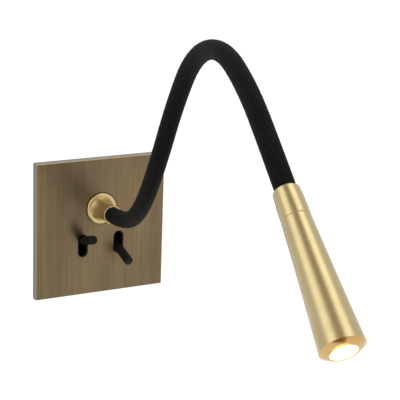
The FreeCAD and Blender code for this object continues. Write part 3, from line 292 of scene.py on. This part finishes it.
# ---- Collar --------------------------------------------------------------------------------
# The trumpet that carries the arm: turned from brass bar, satin finished while it still turns,
# then lacquered, so the fine lines run round it.
def satin_brass(name, axis, stops, dull, bright):
    """Satin brass with its turning lines round an axis.  Real lines are about 0.1 mm apart; these
    are 0.5 mm, as coarse as they need to be to show."""
    satin, shader = new_material(name)
    place = add(satin, "ShaderNodeTexCoord").outputs["Object"]
    cloud = add(satin, "ShaderNodeTexNoise", {"Vector": place, "Scale": 1 / (9 * MM), "Detail": 4.0})
    along = add(satin, "ShaderNodeVectorMath", {0: place, 1: axis}, operation="DOT_PRODUCT")
    lines = add(satin, "ShaderNodeTexNoise",
                {"W": along.outputs["Value"], "Scale": 1 / (0.5 * MM), "Detail": 3.0}, noise_dimensions="1D")
    uneven = add(satin, "ShaderNodeMix", {"Factor": 0.5, 2: cloud.outputs["Fac"], 3: lines.outputs["Fac"]})
    colour = add(satin, "ShaderNodeValToRGB", {"Fac": uneven.outputs[0]}, stops=stops)
    feed(satin, colour.outputs[0], shader.inputs["Base Color"])
    shader.inputs["Metallic"].default_value = 1.0
    rough = add(satin, "ShaderNodeMapRange", {"Value": uneven.outputs[0], "From Min": 0.3, "From Max": 0.7,
                                              "To Min": dull, "To Max": bright})
    feed(satin, rough.outputs[0], shader.inputs["Roughness"])
    shader.inputs["Coat Weight"].default_value = 0.2
    shader.inputs["Coat Roughness"].default_value = 0.25
    bump = add(satin, "ShaderNodeBump",
               {"Strength": 0.1, "Distance": 0.01 * MM, "Height": lines.outputs["Fac"]})
    feed(satin, bump.outputs[0], shader.inputs["Normal"])
    return satin


dress(satin_brass("brass_satin_turned_and_lacquered_collar", (0, 1, 0),
                  [(0.3, "#c9b47f"), (0.7, "#d4c08b")], dull=0.43, bright=0.37), "collar")


# ---- Arm -----------------------------------------------------------------------------------
# A bendable arm: coiled steel conduit round a two-core cable, in a tubular braid of black
# polyester yarn.  It holds the curve that the hand gives it.
BENDS = [(29.4, -11.7), (22.7, 3.9), (9.6, 2.6), (-12.2, -2.4), (-35.0, -1.9), (-31.6, -2.2), (-13.7, -0.2),
         (-8.1, 2.9)]           # how far each stretch bends up and to the side, in degrees
STRETCH = 47.8 * MM             # along the curve, from one hinge to the next
SLEEVE_RADIUS = 5.65 * MM
SLEEVE_SWELL = 0.2 * MM         # the braid is fuller where the brass ends don't grip it
SWELL_LENGTH = 4 * MM           # over which that begins, at either end
SLEEVE_IN_BRASS = 5.0 * MM
RING_SPACING = 0.8 * MM
ROUND_SIDES = 160
STRANDS = 20                    # of each hand
STRAND_ADVANCE = 6.5 * MM       # along the arm, while a strand moves aside by its own width
YARNS_IN_STRAND = 6
RELIEF = 0.24 * MM
WALE_SHARE = 0.6                # of the relief, and the strands are the rest

arm_start = Vector((0, collar_low.y, (collar_low.z + collar_high.z) / 2))


def bend_arm():
    """Each stretch's start, direction and side with the centre, axis and angle of its bend, and the
    end of the arm."""
    here, ahead, side = arm_start, Vector((0, -1, 0)), Vector((1, 0, 0))
    stretches = []
    for lift, sway in BENDS:
        angle = math.radians(math.hypot(lift, sway))
        axis = ahead.cross(ahead.cross(side)) * math.radians(lift) + ahead.cross(side) * math.radians(sway)
        axis.normalize()
        centre = here + axis.cross(ahead) * (STRETCH / angle)
        stretches.append((here, ahead, side, centre, axis, angle))
        turn = Matrix.Rotation(angle, 3, axis)
        here, ahead, side = centre + turn @ (here - centre), turn @ ahead, turn @ side
    return stretches, (here, ahead, side)


stretches, arm_end = bend_arm()


def along_arm(distance):
    """The middle of the arm, its direction and its side at a distance from the collar."""
    if distance < 0:
        here, ahead, side = stretches[0][:3]
        return here + ahead * distance, ahead, side
    if distance >= STRETCH * len(stretches):
        here, ahead, side = arm_end
        return here + ahead * (distance - STRETCH * len(stretches)), ahead, side
    index = int(distance / STRETCH)
    here, ahead, side, centre, axis, angle = stretches[index]
    turn = Matrix.Rotation(angle * (distance / STRETCH - index), 3, axis)
    return centre + turn @ (here - centre), turn @ ahead, turn @ side


def braid_height(around, distance):
    """How high the braid stands there, from 0 to 1, and how far across its strand the place is.
    The wales are ribs along the arm.  Strands pass over two and under two of the other hand."""
    turns = around / (2 * math.pi) * STRANDS
    climb = distance / STRAND_ADVANCE
    one, other = turns + climb, turns - climb
    one_number, other_number = np.floor(one), np.floor(other)
    one_across, other_across = one - one_number, other - other_number
    one_wave = np.cos(math.pi / 2 * (other + one_number - 1))
    other_wave = np.cos(math.pi / 2 * (one + other_number + 1))
    one_height = (1 - (2 * one_across - 1) ** 2) ** 0.5 * (0.62 + 0.38 * one_wave)
    other_height = (1 - (2 * other_across - 1) ** 2) ** 0.5 * (0.62 + 0.38 * other_wave)
    over = one_height > other_height
    wale = np.abs(np.sin(math.pi * (turns - 0.5)))
    height = WALE_SHARE * wale + (1 - WALE_SHARE) * np.where(over, one_height, other_height)
    return height, np.where(over, one_across, other_across)


def braided_tube(name, start, end):
    """A length of the braid, from one distance along the arm to another."""
    rings = max(2, round((end - start) / RING_SPACING)) + 1
    around = np.linspace(0, 2 * math.pi, ROUND_SIDES, endpoint=False)
    places, crowns, across = [], [], []
    for distance in np.linspace(start, end, rings):
        middle, ahead, side = along_arm(distance)
        up = np.array(ahead.cross(side))
        height, lay = braid_height(around, distance)
        free = min(distance, STRETCH * len(BENDS) - distance) / SWELL_LENGTH
        radius = SLEEVE_RADIUS + SLEEVE_SWELL * min(max(free, 0), 1) - RELIEF * (1 - height)
        ring = (np.outer(radius * np.cos(around), np.array(side)) + np.outer(radius * np.sin(around), up)
                + np.array(middle))
        places.append(ring)
        crowns.append(height)
        across.append(lay)
    faces = []
    for ring in range(rings - 1):
        for i in range(ROUND_SIDES):
            low, low_next = ring * ROUND_SIDES + i, ring * ROUND_SIDES + (i + 1) % ROUND_SIDES
            faces.append((low, low_next, low_next + ROUND_SIDES, low + ROUND_SIDES))
    mesh = bpy.data.meshes.new(name)
    mesh.from_pydata(np.concatenate(places).tolist(), [], faces)
    mesh.polygons.foreach_set("use_smooth", [True] * len(faces))
    for attribute, values in (("crown", crowns), ("across", across)):
        mesh.attributes.new(attribute, "FLOAT", "POINT").data.foreach_set("value", np.concatenate(values))
    mesh.materials.append(yarn)
    return put(name, mesh)


# Black polyester yarn: matt, with a soft sheen.  Its colour is painted darker between the strands and lighter
# on their crowns, as painted shade where hardly any light reaches.  Each strand is a flat ribbon of fine
# yarns, 0.3 mm apart.
yarn, shader = new_material("polyester_yarn_black_braided")
crown = add(yarn, "ShaderNodeAttribute", attribute_name="crown")
across = add(yarn, "ShaderNodeAttribute", attribute_name="across")
lint = add(yarn, "ShaderNodeTexNoise", {"Vector": add(yarn, "ShaderNodeTexCoord").outputs["Object"],
                                        "Scale": 1 / (0.5 * MM), "Detail": 3.0})
# Painted shade: the colour darkens from the crowns of the strands into the hollows between them, mixed with a
# random lint.
lint_and_strand_shade = add(yarn, "ShaderNodeMath", {0: crown.outputs["Fac"], 1: lint.outputs["Fac"]}, operation="MULTIPLY")
colour = add(yarn, "ShaderNodeValToRGB", {"Fac": lint_and_strand_shade.outputs[0]},
             stops=[(0.16, "#010101"), (0.34, "#090909"), (0.60, "#1d1b18")])
feed(yarn, colour.outputs[0], shader.inputs["Base Color"])
shader.inputs["Roughness"].default_value = 0.8
shader.inputs["Specular IOR Level"].default_value = 0.1
shader.inputs["Sheen Weight"].default_value = 0.02
shader.inputs["Sheen Roughness"].default_value = 0.4
yarns = add(yarn, "ShaderNodeMath", {0: across.outputs["Fac"], 1: 2 * math.pi * YARNS_IN_STRAND},
            operation="MULTIPLY")
wave = add(yarn, "ShaderNodeMath", {0: yarns.outputs[0]}, operation="SINE")
fuzz = add(yarn, "ShaderNodeMath", {0: wave.outputs[0], 1: lint.outputs["Fac"]}, operation="ADD")
yarn_bump = add(yarn, "ShaderNodeBump", {"Strength": 0.35, "Distance": 0.04 * MM, "Height": fuzz.outputs[0]})
feed(yarn, yarn_bump.outputs[0], shader.inputs["Normal"])

# The first piece of the braid stays with the wall plate and the last moves with the head.  Each of
# the others reaches from the middle of one stretch to the middle of the next and bends over nearly
# all of that.
sleeve_start = braided_tube("braid_at_collar", -SLEEVE_IN_BRASS, 0.5 * STRETCH)
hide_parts("sleeve_1")
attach(sleeve_start, "wall_plate")
for joint in range(1, len(BENDS)):
    braid = braided_tube(f"braid_{joint}", (joint - 0.5) * STRETCH, (joint + 0.5) * STRETCH)
    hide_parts(f"sleeve_{joint + 1}")
    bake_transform(braid)
sleeve_end = braided_tube("braid_at_head", (len(BENDS) - 0.5) * STRETCH,
                          len(BENDS) * STRETCH + SLEEVE_IN_BRASS)
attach(sleeve_end, "head")

dress(steel, *(f"conduit_{i + 1}" for i in range(len(BENDS))))
pvc, _, _ = mottled("pvc_extruded_black", MM, [(0.3, "#161616"), (0.7, "#202020")], 0.4)
dress(pvc, "led_leads", *(f"cable_{i + 1}" for i in range(len(BENDS))))


# ---- Wires behind the plate ----------------------------------------------------------------
# Five short lengths of stranded wire in white PVC that join the terminal block, the switches and
# the arm's cable.
white_pvc, _, _ = mottled("pvc_extruded_white", MM, [(0.3, "#d2d1cc"), (0.7, "#dddcd8")], 0.45)
dress(white_pvc, "inner_wires")


# ---- Head ----------------------------------------------------------------------------------
# A slim cone of brass in two turned pieces, satin finished and lacquered as the collar is.  The
# ring in front is turned more finely, and its colour is painted more golden as painted light, for the lamp's
# warm glow on it.
head_axis = arm_end[1]
dress(satin_brass("brass_satin_turned_and_lacquered_head", head_axis,
                  [(0.3, "#ab9b72"), (0.7, "#b6a67c")], dull=0.35, bright=0.28), "neck_cap", "head_shell")
# Painted light: the front ring's brass is coloured warmer and more golden than the head's, for the lamp's
# glow on it.
dress(satin_brass("brass_fine_turned_and_lacquered_glow_tinted", head_axis,
                  [(0.3, "#bd9a64"), (0.7, "#c8a56e")], dull=0.24, bright=0.18), "front_ring")
# A disc of light as wide as the opening, in front of the ring and facing it, stands in for the
# light that the lamp throws on its own ring.
GLOW_WIDTH = 14 * MM
GLOW_AHEAD = 11 * MM            # of the middle of the ring
GLOW_POWER = 0.0013             # W
ring_low, ring_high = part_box("front_ring")
ring_middle = (ring_low + ring_high) / 2
glow = bpy.data.lights.new("glow_of_the_lamp", "AREA")
glow.shape = "DISK"
glow.size = GLOW_WIDTH
glow.energy = GLOW_POWER
glow.color = linear("#ffcb7e")[:3]
glow_holder = put("glow_of_the_lamp", glow)
glow_holder.location = ring_middle + head_axis * GLOW_AHEAD
glow_holder.rotation_euler = head_axis.to_track_quat("Z", "Y").to_euler()
glow_holder.visible_camera = False
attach(glow_holder, "head")


# ---- Light module --------------------------------------------------------------------------
# Inside the head: an aluminium heat sink, a round board with one warm white LED, a black holder
# and a clear acrylic lens with a silicone ring behind its rim.
aluminium, shader, _ = mottled("aluminium_turned", 1.5 * MM, [(0.3, "#b9babb"), (0.7, "#cfd0d1")], 0.3)
shader.inputs["Metallic"].default_value = 1.0
dress(aluminium, "heat_sink")
mask, _, _ = mottled("solder_mask_white", 2 * MM, [(0.3, "#e4e3dd"), (0.7, "#efeeea")], 0.4)
dress(mask, "led_board")
dress(nylon, "lens_holder")
silicone, _, _ = mottled("silicone_rubber_grey", MM, [(0.3, "#a3a4a2"), (0.7, "#b2b3b1")], 0.6)
dress(silicone, "lens_gasket")
phosphor, shader, _ = mottled("phosphor_lit_warm_white", 0.5 * MM, [(0.3, "#ffd58a"), (0.7, "#ffe3a8")], 0.5)
shader.inputs["Emission Color"].default_value = linear("#ffd9a0")
shader.inputs["Emission Strength"].default_value = 6.0
dress(phosphor, "led_emitter")
acrylic, shader = new_material("acrylic_moulded_clear_lit")
place = add(acrylic, "ShaderNodeTexCoord").outputs["Object"]
grain = add(acrylic, "ShaderNodeTexNoise", {"Vector": place, "Scale": 1 / (2 * MM)})
colour = add(acrylic, "ShaderNodeValToRGB", {"Fac": grain.outputs["Fac"]},
             stops=[(0.3, "#fff4dc"), (0.7, "#fffaf0")])
feed(acrylic, colour.outputs[0], shader.inputs["Base Color"])
shader.inputs["Roughness"].default_value = 0.15
shader.inputs["IOR"].default_value = 1.49
# The light fades and yellows towards the rim.
FADE_FROM, FADE_TO = 5.4 * MM, 7.1 * MM          # from the axis of the head
outward = add(acrylic, "ShaderNodeVectorMath", {0: place, 1: ring_middle}, operation="SUBTRACT")
outward = add(acrylic, "ShaderNodeVectorMath", {0: outward.outputs[0], 1: head_axis},
              operation="CROSS_PRODUCT")
outward = add(acrylic, "ShaderNodeVectorMath", {0: outward.outputs[0]}, operation="LENGTH")
fading = add(acrylic, "ShaderNodeMapRange", {"Value": outward.outputs["Value"], "From Min": FADE_FROM,
                                             "From Max": FADE_TO})
tint = add(acrylic, "ShaderNodeValToRGB", {"Fac": fading.outputs[0]},
           stops=[(0.0, "#fff6e2"), (1.0, "#ffd994")])
feed(acrylic, tint.outputs[0], shader.inputs["Emission Color"])
power = add(acrylic, "ShaderNodeMapRange", {"Value": fading.outputs[0], "To Min": 2.0, "To Max": 1.0})
feed(acrylic, power.outputs[0], shader.inputs["Emission Strength"])
dress(acrylic, "lens")


# ---- Floor and light -----------------------------------------------------------------------
# A pale studio floor well below the lamp, two long soft boxes overhead, and a white surround that
# is darker overhead between the boxes.
FLOOR_Z = -0.6                  # m
FLOOR_REACH = 8                 # m, from the middle to each side
PAPER_LIFT = 0.6                # how much light of its own keeps the paper white where it is seen


def looked_at(surface):
    """The kinds of ray, and 1 where the camera sees the surface, in a reflection or through glass
    too."""
    rays = add(surface, "ShaderNodeLightPath").outputs
    seen = add(surface, "ShaderNodeMath", {0: rays["Is Camera Ray"], 1: rays["Is Glossy Ray"]},
               operation="MAXIMUM")
    seen = add(surface, "ShaderNodeMath", {0: seen.outputs[0], 1: rays["Is Transmission Ray"]},
               operation="MAXIMUM")
    return rays, seen.outputs[0]


floor_mesh = bpy.data.meshes.new("floor")
floor_mesh.from_pydata([(x * FLOOR_REACH, y * FLOOR_REACH, FLOOR_Z)
                        for x, y in ((-1, -1), (1, -1), (1, 1), (-1, 1))], [], [(0, 1, 2, 3)])
floor = put("floor", floor_mesh)
paper, shader = new_material("studio_paper_matt_white")
tone = add(paper, "ShaderNodeTexNoise",
           {"Vector": add(paper, "ShaderNodeTexCoord").outputs["Object"], "Scale": 3.0})
colour = add(paper, "ShaderNodeValToRGB", {"Fac": tone.outputs["Fac"]},
             stops=[(0.3, "#e9e9e8"), (0.7, "#ededec")])
feed(paper, colour.outputs[0], shader.inputs["Base Color"])
shader.inputs["Roughness"].default_value = 0.9
rays, seen = looked_at(paper)
lift = add(paper, "ShaderNodeMath", {0: seen, 1: PAPER_LIFT}, operation="MULTIPLY")
shader.inputs["Emission Color"].default_value = (1, 1, 1, 1)
feed(paper, lift.outputs[0], shader.inputs["Emission Strength"])
floor_mesh.materials.append(paper)

world = bpy.data.worlds.new("studio")
bpy.context.scene.world = world
world.use_nodes = True
surround = world.node_tree.nodes["Background"]
rays, seen = looked_at(world)
# Where the surround is darker, by direction: between two soft edges, and high up.  The camera
# doesn't see it directly.
GAP_LEFT = (-0.45, -0.12)       # along X, where it begins and where it is full
GAP_RIGHT = (0.38, 0.16)
GAP_HEIGHT = (0.3, 0.7)         # along Z
GAP_SLANT = 0.2                 # how far it leans to the side as it rises
SEEN_LEVEL = 1.0                # brightness of the surround where it is seen
LIT_LEVEL = 0.55                # and as a lamp
GAP_LEVEL = 0.5                 # and in the gap
direction = add(world, "ShaderNodeSeparateXYZ", {0: add(world, "ShaderNodeTexCoord").outputs["Generated"]})
slope = add(world, "ShaderNodeMath", {0: direction.outputs["Z"], 1: GAP_SLANT, 2: direction.outputs["X"]},
            operation="MULTIPLY_ADD")
left_edge, right_edge, high = (
    add(world, "ShaderNodeMapRange", {"Value": measure, "From Min": begins, "From Max": full},
        interpolation_type="SMOOTHSTEP")
    for measure, (begins, full) in ((slope.outputs[0], GAP_LEFT), (slope.outputs[0], GAP_RIGHT),
                                  (direction.outputs["Z"], GAP_HEIGHT)))
gap = add(world, "ShaderNodeMath", {0: left_edge.outputs[0], 1: right_edge.outputs[0]}, operation="MULTIPLY")
dark = add(world, "ShaderNodeMath", {0: gap.outputs[0], 1: high.outputs[0]}, operation="MULTIPLY")
hidden = add(world, "ShaderNodeMath", {0: 1.0, 1: rays["Is Camera Ray"]}, operation="SUBTRACT")
dark = add(world, "ShaderNodeMath", {0: dark.outputs[0], 1: hidden.outputs[0]}, operation="MULTIPLY")
level_seen = add(world, "ShaderNodeMapRange", {"Value": seen, "To Min": LIT_LEVEL, "To Max": SEEN_LEVEL})
strength = add(world, "ShaderNodeMapRange",
               {"Value": dark.outputs[0], "To Min": level_seen.outputs[0], "To Max": GAP_LEVEL})
warmth = add(world, "ShaderNodeMix", {"Factor": dark.outputs[0], 6: linear("#ffffff"), 7: linear("#ffefdc")},
             data_type="RGBA")
feed(world, warmth.outputs[2], surround.inputs["Color"])
feed(world, strength.outputs[0], surround.inputs["Strength"])

# The soft boxes face the middle of the head.  Each is given by its direction and distance from
# there, the direction of its long side, its two sides in metres and its power in watts.
head_low, head_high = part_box("head_shell")
lit = (head_low + head_high) / 2
for name, towards, distance, along, size, power in (
        ("soft_box_right", (0.35, -0.12, 0.93), 1.5, (-0.186, 0.955, 0.232), (0.86, 1.8), 7.4),
        ("soft_box_left", (-0.76, 0.23, 0.61), 1.4, (0.526, 0.798, 0.308), (0.85, 1.8), 5.8)):
    lamp = bpy.data.lights.new(name, "AREA")
    lamp.shape = "RECTANGLE"
    lamp.size, lamp.size_y = size
    lamp.energy = power
    holder = put(name, lamp)
    towards = Vector(towards).normalized()
    across = Vector(along).cross(towards).normalized()
    holder.location = lit + towards * distance
    holder.rotation_euler = Matrix((across, towards.cross(across), towards)).transposed().to_euler()

# A brown card low in front, 430 mm by 210 mm, that only reflections show.  It darkens the upper
# left of the head's front ring.
CARD_LEFT, CARD_RIGHT = -0.44, -0.01             # m
CARD_LOW_EDGE = (-0.74, -0.25)                   # m, along Y and Z
CARD_HIGH_EDGE = (-0.86, -0.08)
card_mesh = bpy.data.meshes.new("brown_card")
card_mesh.from_pydata([(CARD_LEFT, *CARD_LOW_EDGE), (CARD_RIGHT, *CARD_LOW_EDGE),
                       (CARD_RIGHT, *CARD_HIGH_EDGE), (CARD_LEFT, *CARD_HIGH_EDGE)], [], [(0, 1, 2, 3)])
card = put("brown_card", card_mesh)
kraft, _, _ = mottled("kraft_card_brown", 5 * MM, [(0.3, "#a06a38"), (0.7, "#b07a44")], 0.9)
card_mesh.materials.append(kraft)
card.visible_camera = False
card.visible_diffuse = False
card.visible_shadow = False

bpy.context.scene.view_settings.view_transform = "Standard"
